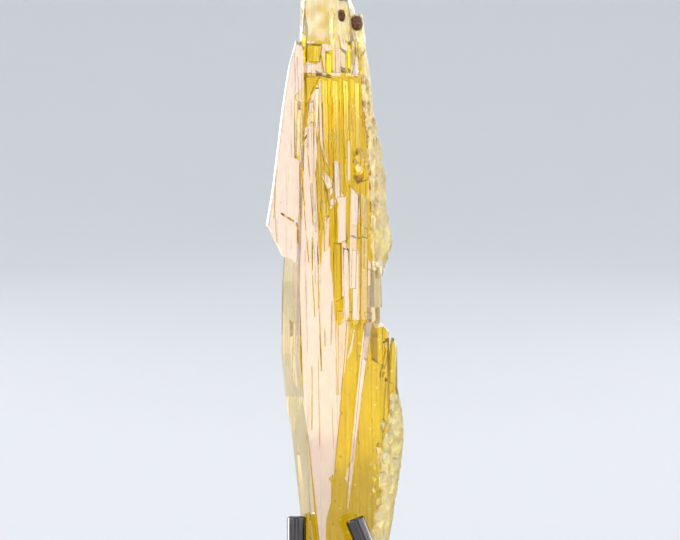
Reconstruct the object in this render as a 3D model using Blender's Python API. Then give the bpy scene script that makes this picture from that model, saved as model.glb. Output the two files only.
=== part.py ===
"""A legrandite crystal standing in the three prongs of a polished steel holder.

Run with: blender --background --python part.py
The model is in metres with +Z up. Its origin is at the centre of the holder's underside. The crystal's
flat faces look along -Y. Sizes below are written in millimetres. Each mesh is in millimetres too, and its
object is scaled by MM, so that the scene is in metres. Heights on the crystal are measured from its broken
foot.
"""

import math
import random

import bmesh
import bpy
from mathutils import Matrix, Vector

MM = 0.001

# Holder
BASE_RADIUS = 9.0
BASE_HEIGHT = 3.0
BASE_CHAMFER = 0.8
STEM_RADIUS = 1.75
COLLAR_RADIUS = 4.5
COLLAR_BOTTOM = 8.0
COLLAR_TOP = 11.0
COLLAR_CHAMFER = 0.6
SPIGOT_RADIUS = 0.9
SPIGOT_LENGTH = 1.2
PRONG_RADIUS = 0.57
PRONG_CHAMFER = 0.16
PRONG_SEAT = 9.6
GAP = 0.1

# Each prong's axis, where it leaves the collar's top and at its tip
LEFT_PRONG = ((-2.93, -1.60, COLLAR_TOP), (-2.93, -1.60, 15.5))
FRONT_PRONG = ((2.20, -2.35, COLLAR_TOP), (0.42, -2.20, 15.4))
BACK_PRONG = ((0.75, 3.20, COLLAR_TOP), (0.30, 2.70, 13.6))

# Crystal
CRYSTAL_FOOT = COLLAR_TOP + GAP
SIDE_SHARE = 0.35
LUMP_SEED = 11

ROUND_SIDES = 48
PRONG_SIDES = 24


def clear_scene():
    for old in list(bpy.data.objects):
        bpy.data.objects.remove(old)


def finish(name, colour, roughness, metallic=0.0, transmission=0.0, ior=1.5):
    """A plain material from the main values of a surface."""
    material = bpy.data.materials.new(name)
    material.use_nodes = True
    shader = material.node_tree.nodes["Principled BSDF"]
    shader.inputs["Base Color"].default_value = (*colour, 1.0)
    shader.inputs["Roughness"].default_value = roughness
    shader.inputs["Metallic"].default_value = metallic
    shader.inputs["Transmission Weight"].default_value = transmission
    shader.inputs["IOR"].default_value = ior
    return material


def object_from(mesh_maker, name, material=None):
    """Puts a finished bmesh, in millimetres, into a new object with its faces pointing outwards."""
    mesh_maker.normal_update()
    bmesh.ops.recalc_face_normals(mesh_maker, faces=mesh_maker.faces)
    mesh = bpy.data.meshes.new(name)
    mesh_maker.to_mesh(mesh)
    mesh_maker.free()
    if material:
        mesh.materials.append(material)
    made = bpy.data.objects.new(name, mesh)
    made.scale = (MM, MM, MM)
    bpy.context.scene.collection.objects.link(made)
    return made


def hide_as_guide(guide):
    guide.hide_render = True
    guide.display_type = "WIRE"


# The crystal's parts


def blade(parts, left, right, front, back, flat=(0.8, 0.8), turn=0.0, cap=0.25):
    """A lath-like crystal. left and right are its edges as seen from the front, from foot to head.

    front and back are its faces' distances from the crystal's middle plane. flat is the share of the width
    that those two faces take, and bevels join them to the sides. turn is how far the front face is turned
    about the lath's length, in degrees, and cap is how much lower the head ends on the front and back faces.
    """
    outline = list(left) + list(reversed(right))
    foot_middle = (left[0][0] + right[0][0]) / 2
    head_middle = (left[-1][0] + right[-1][0]) / 2
    foot = min(left[0][1], right[0][1])
    head = max(left[-1][1], right[-1][1])
    recede = math.tan(math.radians(turn))

    def middle_at(height):
        share = (height - foot) / (head - foot)
        return foot_middle + (head_middle - foot_middle) * share

    thickness = front + back
    side_front = front - thickness * (1 - SIDE_SHARE) / 2
    side_back = -back + thickness * (1 - SIDE_SHARE) / 2
    shape = bmesh.new()
    rings = []
    for depth, share, lowered, slope in (
        (front, flat[0], cap, recede),
        (side_front, 1.0, 0.0, 0.0),
        (side_back, 1.0, 0.0, 0.0),
        (-back, flat[1], cap, 0.0),
    ):
        ring = []
        for x, height in outline:
            at_height = height - (lowered if height > head - cap else 0.0)
            middle = middle_at(at_height)
            at = middle + (x - middle) * share
            ring.append(shape.verts.new((at, slope * (at - middle) - depth, CRYSTAL_FOOT + at_height)))
        rings.append(ring)
    for near, far in zip(rings, rings[1:]):
        for corner in range(len(outline)):
            following = (corner + 1) % len(outline)
            shape.faces.new((near[corner], near[following], far[following], far[corner]))
    shape.faces.new(rings[0])
    shape.faces.new(rings[-1])
    shape.normal_update()
    bmesh.ops.triangulate(shape, faces=shape.faces)
    made = object_from(shape, f"crystal_blade_{len(parts):02d}")
    hide_as_guide(made)
    parts.append(made)
    return made


def lump(parts, rng, centre, size, detail=1, unevenness=0.18):
    """A rough rounded grain. centre is (x, y, height) and size its three radii."""
    shape = bmesh.new()
    bmesh.ops.create_icosphere(shape, subdivisions=detail, radius=1.0)
    about_z = Matrix.Rotation(rng.uniform(0, math.tau), 3, "Z")
    turned = about_z @ Matrix.Rotation(rng.uniform(0, math.tau), 3, "X")
    for vert in shape.verts:
        at = turned @ vert.co * (1 + rng.uniform(-unevenness, unevenness))
        vert.co = Vector(
            (
                centre[0] + at.x * size[0],
                centre[1] + at.y * size[1],
                CRYSTAL_FOOT + centre[2] + at.z * size[2],
            )
        )
    made = object_from(shape, f"crystal_lump_{len(parts):02d}")
    hide_as_guide(made)
    parts.append(made)
    return made


def body(parts):
    """The thick inner blades that everything else has grown on, from the broken foot to the shoulder."""
    blade(
        parts,
        left=[
            (-1.9, 0.0),
            (-2.5, 2.6),
            (-2.8, 5.2),
            (-3.2, 8.9),
            (-3.6, 11.3),
            (-3.85, 13.8),
            (-3.78, 18.0),
            (-3.5, 22.0),
        ],
        right=[(1.7, 0.0), (2.0, 3.0), (2.1, 9.0), (1.92, 16.2), (1.75, 22.0)],
        front=1.55,
        back=1.5,
        flat=(0.66, 0.6),
        turn=9.0,
        cap=0.0,
    )
    blade(
        parts,
        left=[(-3.3, 16.5), (-3.2, 24.0), (-2.7, 29.95)],
        right=[(2.05, 16.5), (1.95, 19.6), (2.0, 24.0), (1.6, 27.4), (1.3, 29.95)],
        front=1.5,
        back=1.45,
        flat=(0.78, 0.7),
        turn=5.0,
        cap=0.0,
    )


def top_crystal(parts):
    """The thinner frosted crystal above the ledge, its stub prisms and its slanting tip."""
    blade(
        parts,
        left=[(-2.85, 28.6), (-2.78, 32.2), (-2.68, 34.4), (-2.3, 35.5), (-1.75, 36.5)],
        right=[(0.95, 28.6), (0.45, 33.9), (0.16, 34.6), (-0.5, 35.5), (-1.3, 36.4)],
        front=1.02,
        back=1.05,
        flat=(0.86, 0.75),
        cap=0.4,
    )
    blade(
        parts,
        left=[(-0.35, 29.0), (-0.3, 33.5)],
        right=[(1.25, 29.0), (1.06, 32.2), (0.9, 33.7)],
        front=0.9,
        back=0.75,
        turn=12.0,
    )
    blade(
        parts,
        left=[(-1.05, 29.0), (-1.15, 33.3), (-1.1, 34.9)],
        right=[(-0.6, 29.0), (-0.7, 33.2), (-0.75, 34.6)],
        front=1.2,
        back=0.2,
    )
    for left, right, front, turn, cap in (
        ([(-2.62, 30.9), (-2.62, 32.6)], [(-2.36, 30.6), (-2.38, 32.3)], 1.28, -18.0, 0.2),
        ([(-2.4, 30.8), (-2.4, 31.95)], [(-1.55, 30.8), (-1.42, 31.9)], 1.42, -15.0, 0.2),
        ([(-1.42, 29.6), (-1.5, 31.4)], [(-1.22, 29.6), (-1.45, 31.3)], 1.32, 0.0, 0.6),
        ([(-1.25, 29.6), (-1.24, 31.45)], [(-0.84, 29.6), (-0.9, 31.2)], 1.4, 17.0, 0.15),
        ([(-0.42, 29.6), (-0.4, 31.7)], [(-0.05, 29.6), (-0.05, 31.5)], 1.44, 6.0, 0.25),
        ([(0.0, 29.6), (0.02, 32.0)], [(0.22, 29.6), (0.2, 31.9)], 1.3, 18.0, 0.2),
        ([(0.15, 29.6), (0.5, 31.7)], [(0.85, 29.6), (0.66, 31.5)], 1.36, 0.0, 0.5),
    ):
        blade(parts, left, right, front, 0.2, turn=turn, cap=cap)


def left_blade(parts):
    """The broad blade on the left, broken off across its lower end."""
    blade(
        parts,
        left=[(-4.74, 21.25), (-4.35, 23.6), (-3.82, 28.0), (-3.42, 30.6), (-3.0, 32.1)],
        right=[(-3.7, 19.5), (-2.5, 19.1), (-2.3, 29.0), (-2.5, 31.7)],
        front=1.62,
        back=1.1,
        flat=(0.82, 0.72),
    )
    blade(
        parts,
        left=[(-4.28, 20.45), (-4.0, 22.9)],
        right=[(-3.6, 19.45), (-3.1, 19.9), (-3.3, 22.4)],
        front=1.36,
        back=1.32,
        turn=-9.0,
    )
    blade(
        parts,
        left=[(-4.5, 21.4), (-3.95, 22.0), (-3.75, 26.0)],
        right=[(-2.75, 21.4), (-2.85, 21.9), (-3.1, 26.4)],
        front=1.7,
        back=0.4,
        flat=(0.96, 0.9),
        cap=0.0,
    )
    blade(parts, [(-3.08, 25.2), (-3.06, 28.8)], [(-2.72, 25.0), (-2.62, 28.4)], 1.68, 0.4, turn=-17.0)


def main_blade(parts):
    """The long pale blade from the shoulder to the foot, made of thin laths that fan out."""
    for left, right, front, cap in (
        (
            [(-2.95, 14.6), (-3.1, 18.6), (-3.12, 21.0), (-2.8, 24.9)],
            [(-2.72, 12.6), (-2.68, 18.0), (-2.6, 25.2)],
            1.80,
            0.3,
        ),
        (
            [(-2.55, 10.9), (-2.8, 15.0), (-2.74, 20.4), (-2.45, 26.6)],
            [(-2.1, 8.2), (-2.25, 16.0), (-2.3, 20.4), (-2.2, 26.9)],
            1.87,
            0.35,
        ),
        (
            [(-1.95, 6.2), (-2.28, 12.0), (-2.34, 20.2), (-2.3, 28.4)],
            [(-1.5, 6.2), (-1.75, 15.8), (-2.0, 20.2), (-1.95, 28.9)],
            1.94,
            0.5,
        ),
        (
            [(-1.86, 9.0), (-1.82, 15.8), (-2.04, 20.2), (-1.84, 29.4)],
            [(-1.2, 9.0), (-1.2, 15.8), (-1.66, 20.2), (-1.85, 24.3), (-1.74, 25.6), (-1.62, 29.4)],
            1.89,
            0.2,
        ),
        (
            [(-1.5, 2.0), (-1.83, 5.0), (-2.26, 8.9), (-1.9, 13.6)],
            [(-1.25, 2.0), (-1.2, 4.2), (-0.92, 5.2), (-0.9, 6.3), (-0.66, 7.8), (-0.4, 10.4), (-0.62, 13.9)],
            1.99,
            0.3,
        ),
        (
            [(-1.5, 11.6), (-1.62, 17.0), (-1.4, 21.0)],
            [(-0.6, 11.6), (-0.68, 15.8), (-0.86, 18.4), (-1.34, 21.2)],
            1.95,
            0.2,
        ),
    ):
        blade(parts, left, right, front, 0.6, flat=(0.96, 0.9), cap=cap)
    blade(
        parts,
        left=[(-1.05, 6.6), (-0.75, 12.0), (-0.6, 16.4)],
        right=[(-0.78, 6.5), (-0.36, 11.2), (-0.14, 13.3), (0.08, 16.5)],
        front=1.9,
        back=0.4,
        flat=(0.92, 0.9),
        turn=3.0,
        cap=0.15,
    )
    blade(parts, [(-3.28, 12.4), (-3.38, 15.9)], [(-2.8, 11.8), (-2.95, 15.6)], 1.5, 0.2, turn=-12.0, cap=0.3)
    blade(
        parts,
        left=[(-2.5, 1.2), (-2.66, 4.6), (-2.98, 8.2)],
        right=[(-1.9, 1.2), (-2.1, 5.0), (-2.4, 8.0)],
        front=1.05,
        back=0.9,
        turn=-25.0,
    )


def golden_bands(parts):
    """The turned prisms between the pale laths, which show the crystal's golden inside."""
    blade(
        parts,
        left=[(-2.55, 26.6), (-2.5, 29.85)],
        right=[(-2.2, 26.9), (-2.2, 28.9), (-1.5, 29.9)],
        front=1.72,
        back=0.3,
        turn=-14.0,
        cap=0.0,
    )
    for left, width, foot, head, front, turn in (
        (-1.64, 0.34, 24.6, 29.92, 1.66, 16.0),
        (-1.36, 0.28, 22.6, 29.85, 1.76, 20.0),
        (-1.08, 0.30, 23.6, 29.9, 1.7, 15.0),
        (-0.80, 0.34, 22.4, 29.8, 1.8, 18.0),
        (-0.46, 0.30, 22.6, 29.95, 1.74, 15.0),
        (-0.16, 0.32, 20.4, 29.8, 1.82, 19.0),
        (0.18, 0.30, 23.0, 29.9, 1.7, 16.0),
        (0.46, 0.34, 24.8, 29.7, 1.64, 20.0),
    ):
        drift = (head - foot) * 0.012
        blade(
            parts,
            left=[(left + drift, foot), (left - drift, head)],
            right=[(left + width + drift, foot + 0.25), (left + width - drift, head - 0.08)],
            front=front,
            back=0.2,
            flat=(0.86, 0.8),
            turn=turn,
            cap=0.1,
        )
    for left, right, front, turn in (
        ([(-1.42, 21.3), (-1.6, 23.0), (-1.88, 27.4)], [(-0.92, 21.8), (-1.0, 23.3), (-1.72, 27.2)], 1.74, 17.0),
        ([(-1.1, 19.6), (-1.02, 22.4)], [(-0.55, 20.2), (-0.58, 22.7)], 1.72, 19.0),
        ([(-0.8, 16.6), (-0.78, 20.5)], [(-0.3, 16.9), (-0.35, 20.4)], 1.7, 16.0),
        ([(-0.62, 15.2), (-0.64, 17.1)], [(-0.1, 15.7), (-0.18, 17.3)], 1.74, 21.0),
        ([(0.72, 14.2), (0.8, 20.0), (0.75, 24.0)], [(1.4, 14.0), (1.42, 19.0), (1.3, 24.2)], 1.5, 21.0),
        ([(0.95, 18.8), (1.0, 21.4)], [(1.7, 18.6), (1.55, 21.2)], 1.42, 24.0),
    ):
        blade(parts, left, right, front, 0.2, flat=(0.9, 0.8), turn=turn)


def pale_laths(parts):
    """The narrow laths standing proud of the front, each with its own slanting head."""
    for left, right, front in (
        ([(-1.28, 23.3), (-1.3, 24.2)], [(-0.84, 23.5), (-1.05, 24.35)], 1.92),
        ([(-0.56, 20.2), (-0.6, 22.9)], [(-0.05, 20.4), (-0.03, 23.1)], 2.02),
        ([(-0.3, 17.2), (-0.28, 20.6)], [(-0.02, 17.0), (-0.05, 20.7)], 1.95),
        ([(-1.3, 18.6), (-1.34, 21.5)], [(-0.96, 18.6), (-1.0, 21.95)], 1.98),
        ([(0.1, 17.6), (0.2, 23.7)], [(0.5, 17.6), (0.68, 23.0)], 1.9),
        ([(0.28, 15.4), (0.34, 19.9)], [(0.7, 15.6), (0.72, 19.6)], 1.84),
        ([(-0.2, 15.8), (-0.22, 20.1)], [(0.16, 15.9), (0.1, 19.8)], 2.06),
        ([(0.0, 23.9), (0.02, 26.4)], [(0.18, 23.9), (0.16, 26.3)], 1.9),
    ):
        blade(parts, left, right, front, 0.2, flat=(0.93, 0.8), cap=0.15)
    blade(
        parts,
        left=[(0.0, 4.9), (0.06, 6.3), (0.3, 8.8), (0.52, 11.2), (0.98, 15.6)],
        right=[(0.1, 4.9), (0.26, 6.3), (0.55, 8.8), (0.84, 11.2), (1.46, 15.9)],
        front=1.78,
        back=0.2,
        flat=(0.95, 0.8),
        cap=0.2,
    )


def golden_foot(parts):
    """The wide turned faces of the lower right, either side of the narrow pale lath."""
    blade(
        parts,
        left=[(-1.3, 0.0), (-0.8, 6.6), (-0.35, 11.2), (0.0, 16.4)],
        right=[(0.7, 0.0), (0.55, 5.6), (0.95, 11.6), (1.5, 16.2)],
        front=1.6,
        back=0.6,
        flat=(0.96, 0.9),
        turn=17.0,
        cap=0.2,
    )
    blade(
        parts,
        left=[(0.2, 0.6), (0.3, 6.0), (0.75, 11.0), (1.3, 15.9)],
        right=[(1.9, 0.6), (1.9, 6.0), (2.0, 11.0), (2.1, 15.5)],
        front=1.28,
        back=1.0,
        flat=(0.94, 0.8),
        turn=20.0,
        cap=0.2,
    )


def side_crystals(parts):
    """The two younger crystals on the right, whose heads stand free below the waist."""
    blade(
        parts,
        left=[(1.0, 1.2), (1.3, 7.0), (1.62, 14.7)],
        right=[(2.3, 1.6), (2.62, 7.0), (2.45, 15.05)],
        front=0.92,
        back=0.7,
        flat=(0.72, 0.6),
        turn=14.0,
        cap=0.5,
    )
    blade(
        parts,
        left=[(1.68, 13.0), (1.74, 14.85), (2.06, 15.43)],
        right=[(2.46, 13.0), (2.44, 15.1), (2.15, 15.41)],
        front=0.78,
        back=0.5,
        turn=14.0,
        cap=0.0,
    )
    blade(
        parts,
        left=[(1.6, 2.2), (2.2, 8.0), (2.5, 14.3), (2.6, 14.75)],
        right=[(2.35, 2.2), (3.1, 6.9), (3.3, 8.7), (3.28, 10.2), (2.95, 11.8), (2.92, 14.2), (2.78, 14.7)],
        front=0.5,
        back=0.55,
        flat=(0.66, 0.6),
        turn=12.0,
        cap=0.2,
    )
    blade(parts, [(1.2, 0.9), (1.75, 6.0), (2.05, 12.4)], [(1.9, 0.9), (2.5, 6.0), (2.6, 12.0)], -0.1, 1.25)


def right_crust(parts, rng):
    """The lumpy frosted growth along the right edge, above and below the waist, and the rounded crystals."""
    blade(
        parts,
        left=[(0.8, 18.2), (0.9, 24.0), (0.6, 31.0)],
        right=[
            (2.0, 18.2),
            (2.1, 19.2),
            (2.62, 20.2),
            (2.28, 22.2),
            (2.22, 23.6),
            (2.0, 25.6),
            (1.52, 27.4),
            (1.4, 29.6),
            (1.1, 31.6),
        ],
        front=1.05,
        back=0.8,
        flat=(0.66, 0.6),
        turn=12.0,
        cap=0.2,
    )
    for x, y, height, radius in (
        (1.12, -0.95, 29.2, 0.34),
        (1.22, -0.95, 27.9, 0.36),
        (1.42, -0.60, 26.9, 0.40),
        (1.26, -1.10, 26.4, 0.36),
        (1.66, -0.45, 25.7, 0.44),
        (1.38, -1.05, 24.9, 0.38),
        (1.96, -0.30, 24.0, 0.44),
        (1.62, -0.85, 23.7, 0.38),
        (1.92, -0.35, 22.8, 0.42),
        (1.66, -1.00, 22.3, 0.36),
        (2.12, -0.20, 21.5, 0.42),
        (1.78, -0.78, 20.9, 0.42),
        (2.28, 0.00, 20.4, 0.44),
        (2.10, -0.30, 19.6, 0.38),
        (1.94, 0.05, 19.0, 0.36),
        (1.60, -0.80, 18.8, 0.28),
        (2.00, 0.50, 23.2, 0.40),
        (1.75, 0.60, 25.1, 0.36),
        (2.10, 0.50, 20.8, 0.38),
        (1.45, 0.65, 26.6, 0.32),
    ):
        lump(parts, rng, (x, y, height), (radius, radius * 0.85, radius * 2.1), unevenness=0.12)
    for x, y, height, radius in (
        (2.86, -0.32, 10.7, 0.34),
        (2.98, -0.20, 9.5, 0.36),
        (2.62, -0.62, 10.1, 0.32),
        (2.90, -0.36, 8.4, 0.38),
        (2.48, -0.74, 8.9, 0.34),
        (2.12, -0.96, 9.6, 0.26),
        (2.74, -0.40, 7.3, 0.36),
        (2.28, -0.80, 7.7, 0.34),
        (1.84, -1.04, 8.3, 0.28),
        (2.56, -0.46, 6.2, 0.34),
        (2.06, -0.92, 6.5, 0.34),
        (2.36, -0.50, 5.1, 0.34),
        (1.80, -0.98, 5.4, 0.32),
        (2.26, -0.46, 4.1, 0.32),
        (1.90, -0.84, 4.2, 0.32),
        (2.10, -0.40, 3.0, 0.32),
        (1.72, -0.80, 2.9, 0.30),
        (1.60, -1.08, 7.3, 0.19),
        (1.56, -1.10, 6.6, 0.18),
        (1.55, -1.10, 5.9, 0.18),
        (1.64, -1.06, 8.9, 0.18),
        (2.62, 0.38, 9.2, 0.34),
        (2.42, 0.42, 7.0, 0.34),
    ):
        lump(parts, rng, (x, y, height), (radius, radius * 0.85, radius * 1.6), unevenness=0.15)
    lump(parts, rng, (0.67, -1.66, 24.75), (0.39, 0.34, 1.08), detail=2, unevenness=0.04)
    lump(parts, rng, (1.36, -1.12, 20.1), (0.30, 0.26, 0.55), unevenness=0.08)


def back_faces(parts):
    """The laths of the side away from the front."""
    for left, right, back in (
        ([(-1.9, 1.0), (-3.1, 12.5), (-2.5, 28.4)], [(-1.1, 1.0), (-1.5, 12.0), (-2.1, 28.0)], 1.82),
        ([(-1.55, 0.5), (-1.7, 17.8)], [(-0.3, 0.5), (-0.65, 18.3)], 2.02),
        ([(-1.6, 16.9), (-1.85, 30.4)], [(-0.55, 17.2), (-0.9, 29.9)], 1.92),
        ([(-0.5, 2.6), (-0.7, 15.0), (-0.6, 26.9)], [(0.35, 2.6), (0.15, 15.0), (-0.2, 27.3)], 1.86),
        ([(0.2, 1.4), (0.05, 21.0)], [(1.1, 1.4), (0.95, 20.4)], 1.96),
        ([(-0.3, 20.5), (-0.45, 30.6)], [(0.6, 20.8), (0.35, 30.2)], 1.74),
        ([(0.85, 3.4), (0.9, 13.8)], [(1.7, 3.2), (1.65, 13.1)], 1.72),
        ([(0.6, 17.6), (0.55, 27.2)], [(1.45, 17.8), (1.1, 26.7)], 1.58),
        ([(-3.0, 7.2), (-3.45, 14.6)], [(-2.2, 7.0), (-2.6, 15.3)], 1.6),
        ([(-3.6, 21.6), (-3.2, 28.2)], [(-2.9, 21.2), (-2.7, 28.6)], 1.42),
    ):
        blade(parts, left, right, -0.2, back, flat=(0.8, 0.84), cap=0.35)


def crystal(material, pockets):
    """All blades and lumps grown together, with a pocket round each grain of the other mineral."""
    rng = random.Random(LUMP_SEED)
    parts = []
    body(parts)
    top_crystal(parts)
    left_blade(parts)
    main_blade(parts)
    golden_bands(parts)
    pale_laths(parts)
    golden_foot(parts)
    side_crystals(parts)
    right_crust(parts, rng)
    back_faces(parts)
    grown = parts[0]
    grown.name = "crystal"
    grown.data.materials.append(material)
    grown.hide_render = False
    grown.display_type = "TEXTURED"
    guides = bpy.data.collections.new("crystal_guides")
    for part in parts[1:]:
        guides.objects.link(part)
    join = grown.modifiers.new("grown_together", "BOOLEAN")
    join.operation = "UNION"
    join.operand_type = "COLLECTION"
    join.collection = guides
    for pocket in pockets:
        cut = grown.modifiers.new("pocket", "BOOLEAN")
        cut.operation = "DIFFERENCE"
        cut.object = pocket
    return grown


def grain(name, material, centre, size, seed):
    """A grain of iron oxide, and the slightly larger pocket that it sits in."""
    made = []
    for extra in (0.0, GAP / 2):
        radii = [radius + extra for radius in size]
        lump(made, random.Random(seed), centre, radii, detail=2, unevenness=0.1)
    stone, pocket = made
    stone.name = name
    stone.data.materials.append(material)
    stone.hide_render = False
    stone.display_type = "TEXTURED"
    pocket.name = name + "_pocket"
    return pocket


# The holder


def turned(name, profile, material, sides=ROUND_SIDES):
    """A solid turned about the Z axis from (radius, height) points that start and end on the axis."""
    shape = bmesh.new()
    points = [shape.verts.new((radius, 0.0, height)) for radius, height in profile]
    edges = [shape.edges.new(pair) for pair in zip(points, points[1:])]
    bmesh.ops.spin(
        shape,
        geom=points + edges,
        cent=(0, 0, 0),
        axis=(0, 0, 1),
        angle=math.tau,
        steps=sides,
        use_merge=True,
    )
    bmesh.ops.remove_doubles(shape, verts=shape.verts, dist=0.001)
    made = object_from(shape, name, material)
    made.data.shade_smooth()
    made.data.set_sharp_from_angle(angle=math.radians(35))
    return made


def prong_axis(prong):
    foot, tip = (Vector(end) for end in prong)
    return foot, tip, (tip - foot).normalized()


def rod(name, start, end, radius, chamfer, material=None):
    """A round rod between two points, with its far end chamfered."""
    length = (end - start).length
    shape = bmesh.new()
    bmesh.ops.create_cone(
        shape,
        cap_ends=True,
        segments=PRONG_SIDES,
        radius1=radius,
        radius2=radius,
        depth=length,
        matrix=Matrix.Translation((0, 0, length / 2)),
    )
    if chamfer:
        rim = [edge for edge in shape.edges if all(vert.co.z > length * 0.99 for vert in edge.verts)]
        bmesh.ops.bevel(
            shape, geom=rim, offset=chamfer, segments=2, profile=0.5, affect="EDGES", material=-1
        )
    turn = (end - start).to_track_quat("Z", "Y").to_matrix().to_4x4()
    bmesh.ops.transform(shape, matrix=Matrix.Translation(start) @ turn, verts=shape.verts)
    made = object_from(shape, name, material)
    made.data.shade_smooth()
    made.data.set_sharp_from_angle(angle=math.radians(35))
    return made


def holder(steel, spring_steel):
    """Turned base, stem and collar, and the three prongs set in the collar's holes."""
    turned(
        "base",
        [
            (0.0, 0.0),
            (BASE_RADIUS - BASE_CHAMFER / 2, 0.0),
            (BASE_RADIUS, BASE_CHAMFER / 2),
            (BASE_RADIUS, BASE_HEIGHT - BASE_CHAMFER),
            (BASE_RADIUS - BASE_CHAMFER, BASE_HEIGHT),
            (SPIGOT_RADIUS + GAP, BASE_HEIGHT),
            (SPIGOT_RADIUS + GAP, BASE_HEIGHT - SPIGOT_LENGTH - GAP),
            (0.0, BASE_HEIGHT - SPIGOT_LENGTH - GAP),
        ],
        steel,
    )
    turned(
        "stem",
        [
            (0.0, BASE_HEIGHT - SPIGOT_LENGTH),
            (SPIGOT_RADIUS, BASE_HEIGHT - SPIGOT_LENGTH),
            (SPIGOT_RADIUS, BASE_HEIGHT + GAP),
            (STEM_RADIUS, BASE_HEIGHT + GAP),
            (STEM_RADIUS, COLLAR_BOTTOM - GAP),
            (SPIGOT_RADIUS, COLLAR_BOTTOM - GAP),
            (SPIGOT_RADIUS, COLLAR_BOTTOM + SPIGOT_LENGTH),
            (0.0, COLLAR_BOTTOM + SPIGOT_LENGTH),
        ],
        steel,
    )
    collar = turned(
        "collar",
        [
            (0.0, COLLAR_BOTTOM + SPIGOT_LENGTH + GAP),
            (SPIGOT_RADIUS + GAP, COLLAR_BOTTOM + SPIGOT_LENGTH + GAP),
            (SPIGOT_RADIUS + GAP, COLLAR_BOTTOM),
            (COLLAR_RADIUS - COLLAR_CHAMFER, COLLAR_BOTTOM),
            (COLLAR_RADIUS, COLLAR_BOTTOM + COLLAR_CHAMFER),
            (COLLAR_RADIUS, COLLAR_TOP - COLLAR_CHAMFER),
            (COLLAR_RADIUS - COLLAR_CHAMFER, COLLAR_TOP),
            (0.0, COLLAR_TOP),
        ],
        steel,
    )
    prongs = {"prong_left": LEFT_PRONG, "prong_front": FRONT_PRONG, "prong_back": BACK_PRONG}
    for name, prong in prongs.items():
        foot, tip, along = prong_axis(prong)
        seat = foot - along * ((COLLAR_TOP - PRONG_SEAT) / along.z)
        rod(name, seat, tip, PRONG_RADIUS, PRONG_CHAMFER, spring_steel)
        hole = rod(name + "_hole", seat - along * GAP, tip, PRONG_RADIUS + GAP / 2, 0.0)
        hide_as_guide(hole)
        drill = collar.modifiers.new(name + "_hole", "BOOLEAN")
        drill.operation = "DIFFERENCE"
        drill.object = hole


def main():
    clear_scene()
    legrandite = finish("legrandite", (0.90, 0.72, 0.16), 0.12, transmission=0.85, ior=1.7)
    iron_oxide = finish("iron_oxide", (0.17, 0.07, 0.02), 0.6)
    steel = finish("polished_steel", (0.62, 0.62, 0.64), 0.18, metallic=1.0)
    spring_steel = finish("polished_prong_steel", (0.72, 0.72, 0.74), 0.12, metallic=1.0)
    pockets = [
        grain("oxide_grain_right", iron_oxide, (0.55, -0.72, 33.08), (0.37, 0.36, 0.44), seed=3),
        grain("oxide_grain_left", iron_oxide, (-0.32, -0.94, 33.5), (0.20, 0.24, 0.34), seed=5),
        grain("oxide_grain_top", iron_oxide, (-0.16, -0.74, 34.62), (0.34, 0.30, 0.30), seed=8),
    ]
    crystal(legrandite, pockets)
    holder(steel, spring_steel)


main()
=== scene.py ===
"""The legrandite crystal on its prong stand, in a small studio.

Sizes are in millimetres and are scaled by MM, because the frame is in metres. The crystal's flat faces look
along -Y. Heights on the crystal are measured from its broken foot, as in the CAD.
"""

import math
import random

import bmesh
import bpy
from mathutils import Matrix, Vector, noise


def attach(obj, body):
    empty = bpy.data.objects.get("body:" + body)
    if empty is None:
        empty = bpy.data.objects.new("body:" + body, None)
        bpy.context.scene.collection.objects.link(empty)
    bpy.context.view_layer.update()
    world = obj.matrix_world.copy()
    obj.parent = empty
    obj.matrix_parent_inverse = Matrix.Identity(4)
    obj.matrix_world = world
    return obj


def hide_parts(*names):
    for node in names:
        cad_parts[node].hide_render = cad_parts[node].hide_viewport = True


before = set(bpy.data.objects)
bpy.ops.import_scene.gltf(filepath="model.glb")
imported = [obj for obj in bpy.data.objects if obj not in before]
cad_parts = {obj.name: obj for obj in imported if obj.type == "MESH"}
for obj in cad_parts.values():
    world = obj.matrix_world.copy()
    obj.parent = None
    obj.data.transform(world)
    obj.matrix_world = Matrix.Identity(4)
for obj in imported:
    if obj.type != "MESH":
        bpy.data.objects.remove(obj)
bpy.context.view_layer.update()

MM = 0.001


# Camera
# A long lens looks level along +Y at the upper two thirds of the crystal. Its frame is FRAME_WIDTH wide where
# the crystal's front stands.

LENS = 190.0
SENSOR = 36.0
FRAME_WIDTH = 39.44 * MM
AIM = Vector((-0.41, -1.95, 29.78)) * MM

camera = bpy.data.objects.new("camera", bpy.data.cameras.new("camera"))
camera.data.lens = LENS
camera.data.sensor_width = SENSOR
camera.data.clip_start = 0.005
camera.data.clip_end = 20.0
camera.location = AIM - Vector((0, FRAME_WIDTH * LENS / SENSOR, 0))
camera.rotation_euler = (math.pi / 2, 0, 0)
bpy.context.scene.collection.objects.link(camera)
bpy.context.scene.camera = camera


# Studio floor
# A round sheet of pale grey paper that lies flat under the stand and curves up into a wall all round.

FLOOR_RADIUS = 0.35
SWEEP_RADIUS = 0.95
SWEEP_STEPS = 16
WALL_TOP = 1.6
WALL_SEGMENTS = 96


def object_from(mesh_maker, name):
    """The bmesh as an object of the scene, at the origin."""
    mesh = bpy.data.meshes.new(name)
    mesh_maker.to_mesh(mesh)
    mesh_maker.free()
    made = bpy.data.objects.new(name, mesh)
    bpy.context.scene.collection.objects.link(made)
    return made


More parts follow.
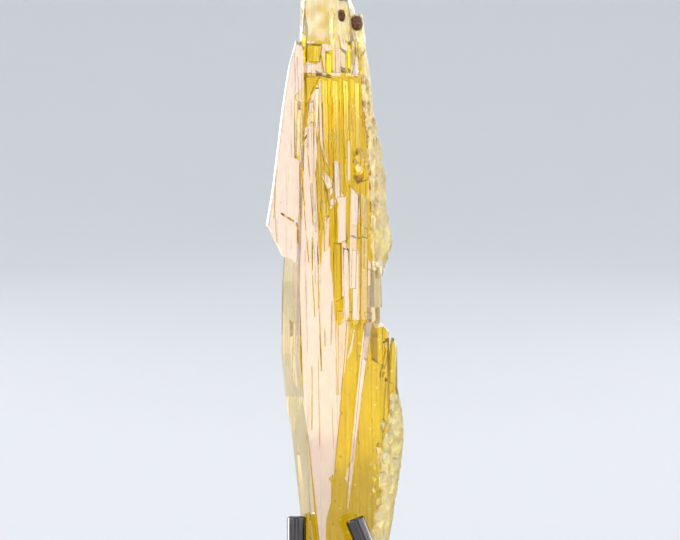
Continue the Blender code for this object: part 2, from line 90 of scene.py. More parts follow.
def turned(name, profile, segments):
    """A surface turned about Z from (radius, height) points in metres that start on the axis."""
    shape = bmesh.new()
    points = [shape.verts.new((radius, 0.0, height)) for radius, height in profile]
    edges = [shape.edges.new(pair) for pair in zip(points, points[1:])]
    bmesh.ops.spin(
        shape,
        geom=points + edges,
        cent=(0, 0, 0),
        axis=(0, 0, 1),
        angle=math.tau,
        steps=segments,
        use_merge=True,
    )
    bmesh.ops.remove_doubles(shape, verts=shape.verts, dist=0.0005 * MM)
    shape.normal_update()
    bmesh.ops.recalc_face_normals(shape, faces=shape.faces)
    made = object_from(shape, name)
    made.data.shade_smooth()
    made.data.set_sharp_from_angle(angle=math.radians(30))
    return made


def new_material(name):
    """A node material with its Principled shader, and short functions that add and join nodes."""
    material = bpy.data.materials.new(name)
    material.use_nodes = True
    nodes = material.node_tree.nodes
    shader = nodes["Principled BSDF"]

    def add(kind, **values):
        node = nodes.new("ShaderNode" + kind)
        for key, value in values.items():
            if hasattr(node, key):
                setattr(node, key, value)
            else:
                node.inputs[key.replace("_", " ").title()].default_value = value
        return node

    return material, shader, add, material.node_tree.links.new


sweep = [(0.0, 0.0), (FLOOR_RADIUS, 0.0)]
for step in range(1, SWEEP_STEPS + 1):
    angle = math.pi / 2 * step / SWEEP_STEPS
    sweep.append((FLOOR_RADIUS + SWEEP_RADIUS * math.sin(angle), SWEEP_RADIUS * (1 - math.cos(angle))))
sweep.append((FLOOR_RADIUS + SWEEP_RADIUS, WALL_TOP))
floor = turned("studio_floor", sweep, WALL_SEGMENTS)
floor.data.flip_normals()

paper, shader, add, join = new_material("pale_paper")
shader.inputs["Base Color"].default_value = (0.74, 0.745, 0.76, 1.0)
shader.inputs["Roughness"].default_value = 0.9
floor.data.materials.append(paper)


# Studio light
# Soft boxes stand all round, and the camera doesn't see them. The front one is on the camera's axis, so the
# crystal's flat faces shine in it. The others are seen through the crystal.


def soft_box(name, azimuth, height, distance, width, tall, radiance, colour=(1.0, 1.0, 1.0)):
    """A lit panel that faces the crystal. Azimuth 0 is the camera's side."""
    lamp = bpy.data.lights.new(name, "AREA")
    lamp.shape = "RECTANGLE"
    lamp.size = width
    lamp.size_y = tall
    lamp.energy = radiance * math.pi * width * tall
    lamp.color = colour
    box = bpy.data.objects.new(name, lamp)
    turn = math.radians(azimuth)
    box.location = (math.sin(turn) * distance, -math.cos(turn) * distance, height)
    box.rotation_euler = (Vector((0, 0, height)) - box.location).to_track_quat("-Z", "Y").to_euler()
    box.visible_camera = False
    bpy.context.scene.collection.objects.link(box)
    return box


soft_box("key_box", 0, 0.052, 0.24, 0.07, 0.10, 0.6, (1.0, 0.86, 0.94))
for azimuth, radiance in ((48, 1.5), (84, 1.7), (120, 1.3), (154, 1.2)):
    soft_box(f"left_box_{azimuth}", -azimuth, 0.21, 0.55, 0.30, 0.30, radiance)
    soft_box(f"right_box_{azimuth}", azimuth, 0.21, 0.55, 0.30, 0.30, radiance)

overhead = bpy.data.lights.new("overhead_box", "AREA")
overhead.size = 0.5
overhead.energy = 1.0 * math.pi * overhead.size**2
overhead_box = bpy.data.objects.new("overhead_box", overhead)
overhead_box.location = (0, 0, 0.75)
overhead_box.visible_camera = False
bpy.context.scene.collection.objects.link(overhead_box)

back_light = soft_box("back_box", 180, 0.156, 0.30, 0.50, 0.30, 0.7)
lit_from_behind = bpy.data.collections.new("lit_from_behind")
back_light.light_linking.receiver_collection = lit_from_behind

pins_only = bpy.data.collections.new("pins_only")
for name, azimuth in (("left_pin_box", -112), ("right_pin_box", 105)):
    soft_box(name, azimuth, 0.06, 0.30, 0.16, 0.16, 9.0).light_linking.receiver_collection = pins_only

room = bpy.data.worlds.new("room")
room.use_nodes = True
room.node_tree.nodes["Background"].inputs["Color"].default_value = (0.9, 0.95, 1.0, 1.0)
room.node_tree.nodes["Background"].inputs["Strength"].default_value = 1.0
bpy.context.scene.world = room
bpy.context.scene.view_settings.view_transform = "Standard"


# Legrandite crystal
# Zinc arsenate grown as a fan of flat blades, clear and golden yellow, on one solid root. Growth has ruled its
# broad faces with fine grooves along its length, and left a frosted crust down its right edge.

FOOT = 11.1
FRONT, BACK = -1, 1
DOT = 0.058
FACET_RIM = 0.025
FACET_RISE = 0.02
SMALLEST_PLATE = 0.004
SKIN_STEP = 0.15
CRUST_FADE = 0.25

# Long grooves of the pale front faces: width, depth, then (x, height) points from the head down
GROOVES = (
    (0.07, 0.05, [(-2.76, 25.2), (-2.70, 21.5)]),
    (0.09, 0.05, [(-2.64, 24.8), (-2.47, 22.4), (-2.38, 20.9), (-2.20, 19.1)]),
    (0.06, 0.05, [(-2.29, 25.6), (-2.15, 23.9), (-1.97, 21.3)]),
    (0.09, 0.06, [(-1.74, 20.4), (-1.66, 18.7), (-1.62, 16.4), (-1.48, 12.8)]),
    (0.07, 0.05, [(-2.02, 20.6), (-2.02, 18.4), (-1.86, 15.95)]),
    (0.06, 0.04, [(-1.28, 15.3), (-1.28, 14.0)]),
    (0.06, 0.04, [(-0.87, 16.9), (-0.93, 14.3)]),
    (0.07, 0.05, [(-2.03, 13.1), (-2.03, 9.4)]),
    (0.13, 0.09, [(-3.83, 22.0), (-3.60, 21.8), (-2.95, 21.45), (-2.86, 21.2), (-2.86, 20.2)]),
    (0.05, 0.04, [(-3.95, 29.2), (-4.25, 21.4)]),
    (0.30, 0.08, [(-0.81, 33.6), (-0.81, 31.3)]),
    (0.16, 0.14, [(2.25, 14.4), (2.02, 12.9), (1.86, 12.4)]),
    (0.12, 0.12, [(2.38, 14.2), (2.2, 12.9), (2.02, 12.3)]),
)

# How pale and how lemon-coloured a facet is. The pale share is partly a paler skin and partly painted glare of the
# key box, and the whitest tone is a painted glint. The coat that follows the pale share reflects for real.
GOLDEN = (0.0, 0.0)
YELLOW = (0.0, 0.35)
GREENISH = (0.0, 0.55)
LEMON = (0.0, 1.0)
CREAM_WITH_PAINTED_GLARE = (0.6, 0.1)
PALE_WITH_PAINTED_GLARE = (1.0, 0.0)
# A painted glint: pale past full, so the colour is the palest and the coat is the strongest
PAINTED_GLINT = (1.4, 0.2)

# Outlines of facets on the front: (x, height) points in steps of DOT, with heights from the foot
FACETS = (
    # Head: the striped skin, then the short prisms above the ledge
    (GREENISH, [(-17, 584), (-12, 584), (-10, 572), (-7, 544), (-16, 544), (-18, 562)]),
    (GOLDEN, [(-45, 557), (-41, 556), (-42, 549), (-44, 542), (-45, 542)]),
    (GOLDEN, [(-44, 546), (-37, 549), (-26, 549), (-27, 535), (-31, 529), (-38, 530), (-42, 537)]),
    # Painted glint
    (PAINTED_GLINT, [(-39, 529), (-33, 529), (-34, 522), (-39, 519), (-41, 524)]),
    (CREAM_WITH_PAINTED_GLARE, [(-33, 529), (-31, 529), (-27, 535), (-26, 549), (-22, 543), (-22, 520), (-32, 520)]),
    (GOLDEN, [(-22, 542), (-14, 543), (-14, 520), (-22, 520)]),
    (CREAM_WITH_PAINTED_GLARE, [(-14, 543), (-8, 543), (-8, 520), (-14, 520)]),
    (LEMON, [(-7, 544), (-1, 542), (-1, 520), (-6, 522)]),
    (GOLDEN, [(-1, 542), (4, 542), (4, 520), (-1, 520)]),
    (LEMON, [(5, 552), (10, 552), (9, 534), (5, 528)]),
    # Painted glint
    (PAINTED_GLINT, [(9, 534), (13, 518), (4, 518)]),
    # Shoulder
    (GOLDEN, [(-44, 520), (-24, 520), (-31, 506), (-36, 497), (-38, 490), (-39, 474), (-43, 465), (-44, 492)]),
    (GREENISH, [(-53, 496), (-45, 504), (-45, 474), (-46, 444), (-49, 437), (-53, 434)]),
    (PALE_WITH_PAINTED_GLARE, [(-26, 513), (-31, 506), (-36, 497), (-38, 490), (-38, 468), (-32, 471), (-26, 444), (-17, 422),
            (-22, 442), (-24, 452), (-25, 482)]),
    # Painted glint
    (PAINTED_GLINT, [(-42, 465), (-38, 468), (-38, 442), (-44, 447), (-45, 454)]),
    (LEMON, [(-37, 480), (-34, 480), (-34, 467), (-37, 465)]),
    (GOLDEN, [(-32, 471), (-29, 453), (-26, 444), (-23, 432), (-17, 422), (-24, 421), (-25, 414), (-19, 402),
              (-17, 382), (-22, 376), (-26, 375), (-28, 409), (-32, 415), (-32, 419), (-30, 424), (-30, 442)]),
    # Middle
    (PALE_WITH_PAINTED_GLARE, [(-24, 421), (-20, 419), (-15, 413), (-14, 402), (-16, 395), (-19, 402), (-25, 414)]),
    (PALE_WITH_PAINTED_GLARE, [(-14, 395), (-10, 391), (-17, 382), (-17, 392)]),
    (PALE_WITH_PAINTED_GLARE, [(-13, 432), (-7, 430), (-6, 402), (-1, 392), (0, 349), (-9, 349), (-9, 389), (-13, 396)]),
    (GOLDEN, [(-17, 381), (-10, 389), (-10, 350), (-6, 349), (-5, 292), (-3, 274), (-9, 265), (-11, 270),
              (-9, 287), (-13, 294), (-14, 340), (-18, 346)]),
    (CREAM_WITH_PAINTED_GLARE, [(-22, 375), (-17, 377), (-18, 344), (-23, 340), (-24, 357)]),
    (PALE_WITH_PAINTED_GLARE, [(4, 405), (12, 399), (13, 379), (11, 366), (4, 368)]),
    (CREAM_WITH_PAINTED_GLARE, [(4, 366), (11, 366), (11, 344), (5, 342)]),
    (PALE_WITH_PAINTED_GLARE, [(5, 342), (12, 342), (11, 292), (10, 273), (5, 273), (4, 312)]),
    (PALE_WITH_PAINTED_GLARE, [(-4, 346), (2, 346), (3, 292), (2, 274), (-2, 273), (-3, 292)]),
    (YELLOW, [(13, 402), (20, 392), (21, 342), (20, 272), (12, 272), (13, 342)]),
    # Waist
    (CREAM_WITH_PAINTED_GLARE, [(20, 334), (25, 330), (25, 272), (20, 272)]),
    (LEMON, [(25, 330), (29, 328), (29, 266), (25, 268)]),
    (GREENISH, [(29, 322), (32, 322), (32, 266), (29, 266)]),
    # Foot
    (GOLDEN, [(3, 272), (19, 272), (16, 260), (5, 260)]),
    (CREAM_WITH_PAINTED_GLARE, [(-9, 266), (-2, 272), (2, 271), (2, 257), (-1, 227), (-6, 197), (-11, 197), (-11, 242)]),
    (LEMON, [(6, 263), (8, 263), (6, 244), (1, 232), (-1, 234), (3, 247)]),
    (PALE_WITH_PAINTED_GLARE, [(19, 272), (25, 272), (23, 247), (19, 222), (14, 192), (11, 162), (7, 137), (5, 117), (4, 107),
            (2, 82), (0.5, 84), (1, 108), (-3, 113), (-1, 116), (0, 124), (5, 132), (8, 162), (14, 227)]),
    (GOLDEN, [(25, 268), (29, 264), (36, 265), (41, 260), (37, 247), (31, 217), (25, 227), (23, 247)]),
    (GOLDEN, [(-19, 113), (-14, 118), (-14, 107)]),
    (GOLDEN, [(-44, 76), (-38, 79), (-33, 78), (-29, 62), (-24, 20), (-40, 20), (-41, 67)]),
)

# Where the frosted crust begins at each height, above and below the waist: (height, x)
CRUST_EDGE = ((2.5, 1.3), (4.2, 1.5), (5.3, 1.95), (7.0, 1.8), (8.0, 1.85), (9.0, 2.15), (10.0, 2.35), (11.4, 2.5),
              (18.8, 1.45), (22.0, 1.3), (24.0, 1.2), (25.6, 1.08), (30.0, 0.78), (36.0, 0.4))


def nearby(left, right, lowest, highest, side, facing=0.9):
    """The faces that look along side and reach into this rectangle of (x, height)."""
    found = []
    for face in solid.faces:
        if face.normal.y * side < facing:
            continue
        xs = [vert.co.x for vert in face.verts]
        heights = [vert.co.z - FOOT for vert in face.verts]
        if min(xs) < right and max(xs) > left and min(heights) < highest and max(heights) > lowest:
            found.append(face)
    return found


def score(faces, at, across):
    """Cuts the faces along the plane through a point, square to a direction."""
    edges = {edge for face in faces for edge in face.edges}
    verts = {vert for face in faces for vert in face.verts}
    bmesh.ops.bisect_plane(solid, geom=[*faces, *edges, *verts], dist=0.0005, plane_co=at, plane_no=across)


def groove(top, bottom, width, depth, side):
    """A fine V groove from one (x, height) point to another, in the faces that look along side."""
    start, end = (Vector((x, 0.0, height + FOOT)) for x, height in (top, bottom))
    along = (end - start).normalized()
    across = along.cross(Vector((0, 1, 0)))
    length = (end - start).length
    taper = min(0.3, length * 0.2)
    reach = (
        min(top[0], bottom[0]) - width / 2,
        max(top[0], bottom[0]) + width / 2,
        min(top[1], bottom[1]),
        max(top[1], bottom[1]),
    )
    for offset in (-width / 2, width / 2, 0.0):
        score(nearby(*reach, side), start + across * offset, across)
    for run in (0.0, taper, length - taper, length):
        score(nearby(*reach, side), start + along * run, along)
    for vert in solid.verts:
        away = vert.co - start
        if abs(away.dot(across)) < 0.003 and taper * 0.9 < away.dot(along) < length - taper * 0.9:
            if any(face.normal.y * side > 0.9 for face in vert.link_faces):
                vert.co.y -= side * depth


def within(x, height, outline):
    """Whether the point lies inside the closed outline."""
    odd = False
    for (x1, height1), (x2, height2) in zip(outline, outline[1:] + outline[:1]):
        if (height1 > height) != (height2 > height):
            if x < x1 + (height - height1) / (height2 - height1) * (x2 - x1):
                odd = not odd
    return odd


def facet(tone, steps):
    """Cuts an outline into the front and raises each plane in it a little, with a thin golden rim.

    Pale facets are also turned to face the front squarely.
    """
    outline = [(x * DOT, height * DOT) for x, height in steps]
    xs, heights = zip(*outline)
    faces = nearby(min(xs), max(xs), min(heights), max(heights), FRONT, 0.3)
    for (x1, height1), (x2, height2) in zip(outline, outline[1:] + outline[:1]):
        along = Vector((x2 - x1, 0.0, height2 - height1))
        edges = {edge for face in faces for edge in face.edges}
        verts = {vert for face in faces for vert in face.verts}
        cut = bmesh.ops.bisect_plane(
            solid,
            geom=[*faces, *edges, *verts],
            dist=0.0005,
            plane_co=(x1, 0.0, height1 + FOOT),
            plane_no=along.cross(Vector((0, 1, 0))),
        )
        faces = [piece for piece in cut["geom"] if isinstance(piece, bmesh.types.BMFace)]
    inner = set()
    for face in faces:
        centre = face.calc_center_median()
        if centre.y < -0.3 and within(centre.x, centre.z - FOOT, outline):
            inner.add(face)
            face[toned] = 1
            face[pale], face[lemon] = tone
    while inner:
        plate = {inner.pop()}
        edge_faces = list(plate)
        while edge_faces:
            face = edge_faces.pop()
            for edge in face.edges:
                for other in edge.link_faces:
                    if other in inner and other.normal.dot(face.normal) > 0.99999:
                        inner.remove(other)
                        plate.add(other)
                        edge_faces.append(other)
        if sum(face.calc_area() for face in plate) < SMALLEST_PLATE or abs(next(iter(plate)).normal.y) < 0.8:
            continue
        rim = bmesh.ops.inset_region(
            solid, faces=list(plate), use_boundary=True, use_even_offset=False, thickness=FACET_RIM
        )["faces"]
        for face in rim:
            face[toned] = 1
            face[pale], face[lemon] = GOLDEN
        verts = {vert for face in plate for vert in face.verts}
        if tone[0] > 0:
            middle = sum(vert.co.y for vert in verts) / len(verts)
            for vert in verts:
                vert.co.y = middle - FACET_RISE
        else:
            for vert in verts:
                vert.co.y -= FACET_RISE


def frosted(place):
    """From 0 to 1, how frosted the surface is: the crust along the right edge, above and below the waist."""
    height = place.z - FOOT + 0.4 * noise.noise(place * 1.3)
    if height < CRUST_EDGE[0][0] or 11.4 < height < 18.8:
        return 0.0
    edge = CRUST_EDGE[-1][1]
    for (height1, x1), (height2, x2) in zip(CRUST_EDGE, CRUST_EDGE[1:]):
        if height < height2:
            edge = x1 + (x2 - x1) * (height - height1) / (height2 - height1)
            break
    ragged = 0.16 * noise.noise(place * 2.1) + 0.10 * noise.noise(place * 5.0)
    return min(max((place.x + ragged - edge) / CRUST_FADE, 0.0), 1.0)


def rippled(place):
    """Whether this is the top crystal, whose skin is rippled."""
    return place.z - FOOT > 32.0 and place.y < -0.3


def in_skin(face):
    """Whether the face belongs to the frosted or rippled skin, which is meshed finely."""
    centre = face.calc_center_median()
    return rippled(centre) or max(frosted(centre), *(frosted(vert.co) for vert in face.verts)) > 0


def lemon_share(face):
    """From 0 to 1, how pale and green the yellow of a face that doesn't look forward is."""
    centre = face.calc_center_median()
    height = centre.z - FOOT
    if height > 32.0:
        return min(max(0.6 + 1.2 * noise.noise(centre * 1.2), 0.15), 1.0)
    if face.normal.x < -0.12 and centre.x < -3.2 and height > 20.0:
        return 0.6
    left_bevel = face.normal.x < -0.12 and height < 19.5
    waist = centre.x > 1.35 and 15.3 < height < 19.2
    return 1.0 if left_bevel or waist else 0.0


solid = bmesh.new()
solid.from_mesh(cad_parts["crystal"].data)
bmesh.ops.scale(solid, vec=(1 / MM, 1 / MM, 1 / MM), verts=solid.verts)
bmesh.ops.remove_doubles(solid, verts=solid.verts, dist=0.001)
solid.normal_update()
bmesh.ops.dissolve_limit(solid, angle_limit=math.radians(0.4), verts=solid.verts, edges=solid.edges)
solid.normal_update()

frost = solid.verts.layers.float.new("frost")
pale = solid.faces.layers.float.new("pale")
lemon = solid.faces.layers.float.new("lemon")
toned = solid.faces.layers.int.new("toned")

for tone, steps in FACETS:
    facet(tone, steps)
    solid.normal_update()
for width, depth, line in GROOVES:
    for top, bottom in zip(line, line[1:]):
        groove(top, bottom, width, depth, FRONT)

# Fainter growth lines: over the front, over the back, and closer on the golden prisms near the head
rng = random.Random(5)
for side, count, left, right, low, high, width, depth in (
    (FRONT, 9, -4.2, 1.2, 8.0, 31.0, 0.03, 0.02),
    (BACK, 34, -4.2, 2.0, 8.0, 33.0, 0.05, 0.02),
    (FRONT, 16, -1.5, 0.75, 28.5, 29.8, 0.07, 0.015),
):
    for number in range(count):
        x = rng.uniform(left, right)
        top = rng.uniform(low, high)
        length = rng.uniform(2.5, 8.0)
        lean = rng.uniform(-0.02, 0.04) * length
        groove((x, top), (x + lean, max(top - length, 0.6)), width, depth, side)
solid.normal_update()

for round_number in range(6):
    skin = [face for face in solid.faces if in_skin(face)]
    bmesh.ops.triangulate(solid, faces=[face for face in skin if len(face.verts) > 3])
    long_edges = {
        edge for face in solid.faces if in_skin(face) for edge in face.edges if edge.calc_length() > SKIN_STEP
    }
    if not long_edges:
        break
    bmesh.ops.subdivide_edges(solid, edges=list(long_edges), cuts=1, use_grid_fill=True)
    solid.normal_update()
bmesh.ops.triangulate(solid, faces=[face for face in solid.faces if in_skin(face) and len(face.verts) > 3])
solid.normal_update()

crusted = [vert for vert in solid.verts if frosted(vert.co) > 0.4]
for round_number in range(4):
    bmesh.ops.smooth_vert(solid, verts=crusted, factor=0.5, use_axis_x=True, use_axis_y=True, use_axis_z=True)
solid.normal_update()
pushes = []
for vert in solid.verts:
    vert[frost] = frosted(vert.co)
    if vert[frost] > 0:
        bumps = 0.04 * noise.noise(vert.co * 3.2) + 0.035 * noise.noise(vert.co * 7.5)
        pushes.append((vert, vert[frost] * bumps))
    elif rippled(vert.co):
        wave = noise.noise(Vector((vert.co.x * 2.2, vert.co.y * 2.2, vert.co.z * 0.8)))
        pushes.append((vert, 0.08 * wave))
for vert, push in pushes:
    vert.co += vert.normal * push
solid.normal_update()
for face in solid.faces:
    face.smooth = in_skin(face)
    # Flats that look squarely along Y take the pale tone: partly a paler skin, partly painted glare of the key box
    if not face[toned]:
        face[pale] = 1.0 if abs(face.normal.y) > 0.9985 and not face.smooth else 0.0
        face[lemon] = lemon_share(face)
for edge in solid.edges:
    edge.smooth = edge.calc_face_angle(math.pi) < math.radians(40)

bmesh.ops.scale(solid, vec=(MM, MM, MM), verts=solid.verts)
legrandite_crystal = object_from(solid, "legrandite_crystal")
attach(legrandite_crystal, "root")
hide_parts("crystal")
lit_from_behind.objects.link(legrandite_crystal)

legrandite, shader, add, join = new_material("legrandite")
shader.inputs["IOR"].default_value = 1.7
shader.inputs["Specular IOR Level"].default_value = 0.2
shader.inputs["Transmission Weight"].default_value = 0.85
shader.inputs["Coat IOR"].default_value = 3.0
shader.inputs["Coat Roughness"].default_value = 0.12
place = add("TexCoord")


def mixed(factor, low, high):
    """A colour between two others, each a colour or a socket."""
    mix = add("Mix", data_type="RGBA")
    join(factor, mix.inputs["Factor"])
    for socket, value in ((mix.inputs[6], low), (mix.inputs[7], high)):
        if isinstance(value, tuple):
            socket.default_value = (*value, 1.0)
        else:
            join(value, socket)
    return mix.outputs[2]


def ranged(value, to_min, to_max, from_min=0.0, from_max=1.0):
    """A number moved from one range to another."""
    change = add("MapRange")
    join(value, change.inputs["Value"])
    change.inputs["From Min"].default_value = from_min
    change.inputs["From Max"].default_value = from_max
    change.inputs["To Min"].default_value = to_min
    change.inputs["To Max"].default_value = to_max
    return change.outputs["Result"]


def calculated(operation, first, second):
    """The result of a sum on two numbers, each a value or a socket."""
    sum_node = add("Math", operation=operation)
    for socket, value in zip(sum_node.inputs, (first, second)):
        if isinstance(value, (int, float)):
            socket.default_value = value
        else:
            join(value, socket)
    return sum_node.outputs[0]


def grain_of(scale, lengthwise, detail):
    """Noise drawn out along the crystal. A small lengthwise value makes long streaks."""
    drawn = add("Mapping")
    join(place.outputs["Object"], drawn.inputs["Vector"])
    drawn.inputs["Scale"].default_value = (1.0, 1.0, lengthwise)
    texture = add("TexNoise", Scale=scale, Detail=detail, Roughness=0.6)
    join(drawn.outputs["Vector"], texture.inputs["Vector"])
    return texture.outputs["Fac"]


# The pale mask paints the key box's glare into the colour of the flats, over a paler skin; it also sets the coat,
# which reflects for real
pale_and_painted_glare_mask = add("Attribute", attribute_name="pale").outputs["Fac"]
lemon_mask = add("Attribute", attribute_name="lemon").outputs["Fac"]
frost_mask = add("Attribute", attribute_name="frost").outputs["Fac"]
streaks = grain_of(2600.0, 0.06, 4.0)
threads = grain_of(7000.0, 0.03, 2.0)
clouds = grain_of(900.0, 0.6, 4.0)
mottles = grain_of(2200.0, 0.5, 5.0)
grit = grain_of(4500.0, 1.0, 5.0)

# Hairlines follow the middle value of a much drawn out noise
hair_noise = grain_of(1300.0, 0.035, 1.0)
off_middle = calculated("ABSOLUTE", calculated("SUBTRACT", hair_noise, 0.5), 0.0)
hairlines = ranged(off_middle, 0.55, 0.0, 0.002, 0.006)

# Specks of air and rust in the golden faces, some bright and some dark
cells = add("TexVoronoi", Scale=2600.0)
join(place.outputs["Object"], cells.inputs["Vector"])
speck = ranged(cells.outputs["Distance"], 1.0, 0.0, 0.10, 0.24)
bright_cell = ranged(cells.outputs["Color"], 0.0, 1.0, 0.55, 0.60)
dark_cell = ranged(cells.outputs["Color"], 1.0, 0.0, 0.34, 0.38)

golden = mixed(ranged(clouds, 0.0, 1.0, 0.3, 0.7), (0.62, 0.38, 0.0), (0.76, 0.52, 0.0))
golden = mixed(ranged(threads, 0.0, 0.35, 0.5, 0.75), golden, (0.88, 0.72, 0.02))
golden = mixed(ranged(streaks, 0.0, 0.5, 0.52, 0.80), golden, (0.50, 0.26, 0.0))
golden = mixed(calculated("MULTIPLY", speck, bright_cell), golden, (0.98, 0.88, 0.12))
golden = mixed(calculated("MULTIPLY", speck, dark_cell), golden, (0.36, 0.15, 0.0))
# Pinkish cream of the flats: partly a paler etched skin, partly a painted reflection of the key box's glare
pale_and_painted_glare_colour = mixed(ranged(mottles, 0.0, 1.0, 0.35, 0.65), (0.92, 0.70, 0.80), (0.94, 0.80, 0.76))
pale_and_painted_glare_colour = mixed(ranged(threads, 0.0, 0.5, 0.55, 0.8), pale_and_painted_glare_colour, (0.84, 0.70, 0.44))
pale_and_painted_glare_colour = mixed(hairlines, pale_and_painted_glare_colour, (0.52, 0.42, 0.14))
lemon_colour = mixed(ranged(clouds, 0.0, 1.0, 0.35, 0.65), (0.94, 0.82, 0.34), (1.0, 0.98, 0.72))
frost_colour = mixed(ranged(grit, 0.0, 1.0, 0.38, 0.60), (0.94, 0.76, 0.12), (1.0, 0.97, 0.66))
colour = mixed(pale_and_painted_glare_mask, golden, pale_and_painted_glare_colour)
colour = mixed(lemon_mask, colour, lemon_colour)
colour = mixed(frost_mask, colour, frost_colour)
join(colour, shader.inputs["Base Color"])

pale_coat = calculated("MULTIPLY", pale_and_painted_glare_mask, ranged(mottles, 0.55, 0.85, 0.3, 0.7))
soft_coat = calculated("MULTIPLY", calculated("ADD", calculated("MULTIPLY", frost_mask, 0.4), lemon_mask), 0.6)
coat = add("Math", operation="ADD", use_clamp=True)
join(pale_coat, coat.inputs[0])
join(soft_coat, coat.inputs[1])
join(coat.outputs[0], shader.inputs["Coat Weight"])
join(ranged(frost_mask, 0.06, 0.45), shader.inputs["Roughness"])

bump = add("Bump", Strength=0.3, Distance=0.00002)
join(calculated("ADD", streaks, threads), bump.inputs["Height"])
join(bump.outputs["Normal"], shader.inputs["Normal"])

depth_colour = add("VolumeAbsorption", Density=200.0)
depth_colour.inputs["Color"].default_value = (0.98, 0.80, 0.05, 1.0)
join(depth_colour.outputs["Volume"], legrandite.node_tree.nodes["Material Output"].inputs["Volume"])
legrandite_crystal.data.materials.append(legrandite)


# Iron oxide grains
# Three rounded grains of rusty brown ore that the top crystal grew round, each in its own pocket.

GRAINS = ("left", "right", "top")

rust, shader, add, join = new_material("iron_oxide")
place = add("TexCoord")
crumbs = add("TexNoise", Scale=9000.0, Detail=5.0, Roughness=0.65)
join(place.outputs["Object"], crumbs.inputs["Vector"])
crust_colour = add("ValToRGB")
join(crumbs.outputs["Fac"], crust_colour.inputs["Fac"])
ramp = crust_colour.color_ramp
ramp.elements[0].position = 0.36
ramp.elements[0].color = (0.035, 0.008, 0.004, 1.0)
ramp.elements[1].position = 0.72
ramp.elements[1].color = (0.42, 0.27, 0.13, 1.0)
ramp.elements.new(0.52).color = (0.16, 0.04, 0.012, 1.0)
join(crust_colour.outputs["Color"], shader.inputs["Base Color"])
dull = add("MapRange")
join(crumbs.outputs["Fac"], dull.inputs["Value"])
dull.inputs["To Min"].default_value = 0.3
dull.inputs["To Max"].default_value = 0.75
join(dull.outputs[0], shader.inputs["Roughness"])
pits = add("Bump", Strength=0.8, Distance=0.00003)
join(crumbs.outputs["Fac"], pits.inputs["Height"])
join(pits.outputs["Normal"], shader.inputs["Normal"])

for side in GRAINS:
    shape = bmesh.new()
    shape.from_mesh(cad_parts["oxide_grain_" + side].data)
    bmesh.ops.scale(shape, vec=(1 / MM, 1 / MM, 1 / MM), verts=shape.verts)
    bmesh.ops.remove_doubles(shape, verts=shape.verts, dist=0.001)
    bmesh.ops.subdivide_edges(shape, edges=shape.edges, cuts=2, use_grid_fill=True, smooth=0.6)
    shape.normal_update()
    for vert in shape.verts:
        vert.co -= vert.normal * 0.05 * abs(noise.noise(vert.co * 6.0))
    bmesh.ops.scale(shape, vec=(MM, MM, MM), verts=shape.verts)
    grain = object_from(shape, "rusty_grain_" + side)
    grain.data.shade_smooth()
    grain.data.materials.append(rust)
    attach(grain, "root")
    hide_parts("oxide_grain_" + side)


# Prongs
# Three polished steel pins, pressed into the collar, that lean on the crystal and hold it upright.

PRONG_RADIUS = 0.57
PRONG_ROUND = 0.16
PRONG_SIDES = 64
PRONG_SEAT = 9.6
PRONGS = {
    "left": ((-2.93, -1.60, 11.0), (-2.93, -1.60, 15.5)),
    "front": ((2.20, -2.35, 11.0), (0.42, -2.20, 15.4)),
    "back": ((0.75, 3.20, 11.0), (0.30, 2.70, 13.6)),
}

pin_steel_painted_dark, shader, add, join = new_material("prong_steel_painted_dark")
shader.inputs["Metallic"].default_value = 1.0
place = add("TexCoord")
lengthwise = add("Mapping")
lengthwise.inputs["Scale"].default_value = (1.0, 1.0, 0.08)
join(place.outputs["Object"], lengthwise.inputs["Vector"])
scratches = add("TexNoise", Scale=14000.0, Detail=4.0, Roughness=0.7)
join(lengthwise.outputs["Vector"], scratches.inputs["Vector"])
# The steel's colour is painted dark, a painted dark reflection in place of dark surroundings, with scratch lines
# through it; the pin boxes give its highlights
tone = add("Mix", data_type="RGBA")
join(scratches.outputs["Fac"], tone.inputs["Factor"])
tone.inputs[6].default_value = (0.05, 0.045, 0.045, 1.0)
tone.inputs[7].default_value = (0.16, 0.15, 0.15, 1.0)
join(tone.outputs[2], shader.inputs["Base Color"])
gloss = add("MapRange")
join(scratches.outputs["Fac"], gloss.inputs["Value"])
gloss.inputs["To Min"].default_value = 0.06
gloss.inputs["To Max"].default_value = 0.26
join(gloss.outputs[0], shader.inputs["Roughness"])
lines = add("Bump", Strength=0.12, Distance=0.00001)
join(scratches.outputs["Fac"], lines.inputs["Height"])
join(lines.outputs["Normal"], shader.inputs["Normal"])

for side, (foot, tip) in PRONGS.items():
    foot, tip = Vector(foot), Vector(tip)
    along = (tip - foot).normalized()
    seat = foot - along * ((foot.z - PRONG_SEAT) / along.z)
    length = (tip - seat).length
    shape = bmesh.new()
    bmesh.ops.create_cone(
        shape, cap_ends=True, segments=PRONG_SIDES, radius1=PRONG_RADIUS, radius2=PRONG_RADIUS, depth=length
    )
    bmesh.ops.translate(shape, vec=(0, 0, length / 2), verts=shape.verts)
    rim = [edge for edge in shape.edges if all(vert.co.z > length * 0.99 for vert in edge.verts)]
    bmesh.ops.bevel(
        shape, geom=rim, offset=PRONG_ROUND, segments=5, profile=0.5, affect="EDGES", material=-1
    )
    bmesh.ops.rotate(
        shape, cent=(0, 0, 0), matrix=along.to_track_quat("Z", "Y").to_matrix(), verts=shape.verts
    )
    bmesh.ops.translate(shape, vec=seat, verts=shape.verts)
    bmesh.ops.scale(shape, vec=(MM, MM, MM), verts=shape.verts)
    pin = object_from(shape, "steel_pin_" + side)
    pin.data.shade_smooth()
    pin.data.set_sharp_from_angle(angle=math.radians(35))
    pin.data.materials.append(pin_steel_painted_dark)
    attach(pin, "root")
    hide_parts("prong_" + side)
    lit_from_behind.objects.link(pin)
    pins_only.objects.link(pin)


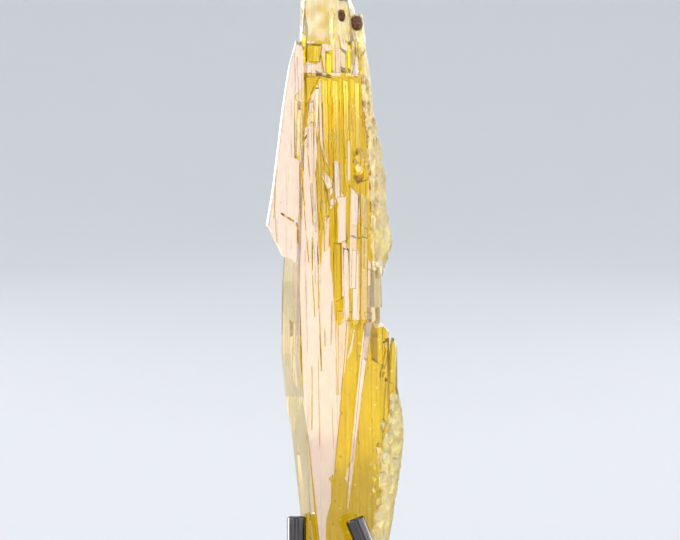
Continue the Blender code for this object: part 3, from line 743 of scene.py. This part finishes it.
# Collar, stem and base
# Turned from steel bar on a lathe: a heavy round foot, a short stem and the collar that the prongs stand in.

STAND_SIDES = 128
STEM_RADIUS = 1.75
EDGE = 0.12


def rounded(profile, size=EDGE):
    """The (radius, height) outline with each outer corner turned into a small round."""
    outline = [profile[0]]
    for before, corner, after in zip(profile, profile[1:], profile[2:]):
        corner = Vector(corner)
        entry = corner + (Vector(before) - corner).normalized() * size
        leave = corner + (Vector(after) - corner).normalized() * size
        for share in (0.0, 0.25, 0.5, 0.75, 1.0):
            outline.append(tuple(entry.lerp(corner, share).lerp(corner.lerp(leave, share), share)))
    outline.append(profile[-1])
    return outline


turned_steel, shader, add, join = new_material("turned_stand_steel")
shader.inputs["Metallic"].default_value = 1.0
place = add("TexCoord")
parts_of = add("SeparateXYZ")
join(place.outputs["Object"], parts_of.inputs["Vector"])
flat_place = add("VectorMath", operation="MULTIPLY")
join(place.outputs["Object"], flat_place.inputs[0])
flat_place.inputs[1].default_value = (1.0, 1.0, 0.0)
from_axis = add("VectorMath", operation="LENGTH")
join(flat_place.outputs["Vector"], from_axis.inputs[0])
ring_place = add("CombineXYZ")
join(from_axis.outputs["Value"], ring_place.inputs["X"])
join(parts_of.outputs["Z"], ring_place.inputs["Y"])
rings = add("TexNoise", Scale=5200.0, Detail=5.0, Roughness=0.75)
join(ring_place.outputs["Vector"], rings.inputs["Vector"])
wear = add("TexNoise", Scale=420.0, Detail=4.0, Roughness=0.6)
join(place.outputs["Object"], wear.inputs["Vector"])
tone = add("Mix", data_type="RGBA")
join(wear.outputs["Fac"], tone.inputs["Factor"])
tone.inputs[6].default_value = (0.42, 0.42, 0.43, 1.0)
tone.inputs[7].default_value = (0.58, 0.575, 0.57, 1.0)
join(tone.outputs[2], shader.inputs["Base Color"])
gloss = add("MapRange")
join(rings.outputs["Fac"], gloss.inputs["Value"])
gloss.inputs["To Min"].default_value = 0.16
gloss.inputs["To Max"].default_value = 0.40
join(gloss.outputs[0], shader.inputs["Roughness"])
tool_marks = add("Bump", Strength=0.3, Distance=0.00002)
join(rings.outputs["Fac"], tool_marks.inputs["Height"])
join(tool_marks.outputs["Normal"], shader.inputs["Normal"])

stand_profiles = {
    "base": [(0.0, 0.0), (8.6, 0.0), (9.0, 0.4), (9.0, 2.2), (8.2, 3.0), (3.0, 3.0), (2.7, 2.85), (2.4, 3.0), (0.0, 3.0)],
    "stem": [(0.0, 1.9), (0.9, 1.9), (0.9, 3.1), (1.75, 3.1), (1.75, 7.9), (0.9, 7.9), (0.9, 9.2), (0.0, 9.2)],
    "collar": [(0.0, 8.0), (3.9, 8.0), (4.5, 8.6), (4.5, 9.3), (4.35, 9.5), (4.5, 9.7), (4.5, 10.4), (3.9, 11.0), (0.0, 11.0)],
}
for name, profile in stand_profiles.items():
    outline = [(radius * MM, height * MM) for radius, height in rounded(profile)]
    piece = turned("steel_" + name, outline, STAND_SIDES)
    piece.data.materials.append(turned_steel)
    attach(piece, "root")
    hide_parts(name)
